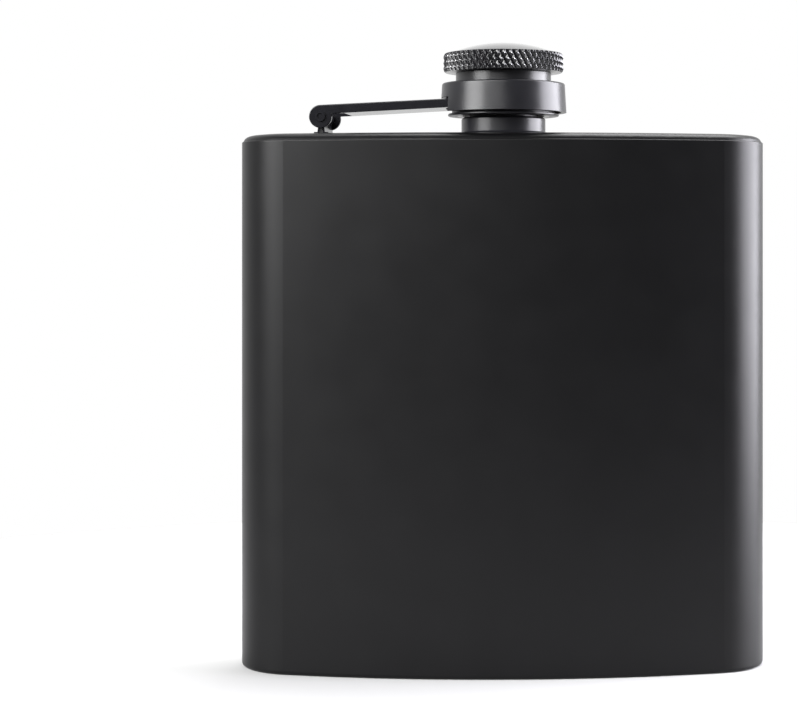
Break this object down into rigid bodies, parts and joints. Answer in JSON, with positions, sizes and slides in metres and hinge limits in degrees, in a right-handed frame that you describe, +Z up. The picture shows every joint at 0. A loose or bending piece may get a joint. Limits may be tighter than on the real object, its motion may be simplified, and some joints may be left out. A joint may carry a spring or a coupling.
{
  "type": "hip flask",
  "caption": "Curved flat steel hip flask with a matt black coat, a knurled screw cap held in a collar, and a hinged arm that keeps the cap on the flask.",
  "frame": {"origin": "on the base's flat face, on the neck's axis", "axes": "+Z up along the neck's axis; +X to the right when the convex front face is seen, which faces -Y; the hinge is on the -X side"},
  "size_m": [0.094, 0.0268, 0.1116],
  "materials": {
    "black_coat": "matt black powder coat",
    "black_fittings": "satin black coat",
    "gasket": "matt silicone"
  },
  "bodies": {
    "flask": {"body_shell": "black_coat", "top_plate": "black_coat", "bottom_plate": "black_coat", "neck": "black_fittings", "hinge_bracket": "black_fittings"},
    "arm": {"cap_arm": "black_fittings", "hinge_pin": "black_fittings", "cap_collar": "black_fittings"},
    "ring": {"retaining_ring": "black_fittings"},
    "cap": {"cap_head": "black_fittings", "cap_barrel": "black_fittings", "cap_gasket": "gasket"}
  },
  "joints": [
    {"name": "arm_swing", "type": "hinge", "parent": "flask", "child": "arm", "pos_m": [-0.032, 0.00365, 0.09835], "axis": [-0.1134, -0.9935, 0], "range_deg": [0, 170]},
    {"name": "cap_lift", "type": "slide", "parent": "arm", "child": "ring", "axis": [0, 0, 1], "range_m": [0, 0.003]},
    {"name": "cap_turn", "type": "hinge", "parent": "ring", "child": "cap", "pos_m": [0, 0, 0.1018], "axis": [0, 0, 1], "range_deg": [0, 720]}
  ],
  "couplings": [
    {"joint": "cap_lift", "follows": "cap_turn", "m_per_rad": 0.00023873}
  ]
}
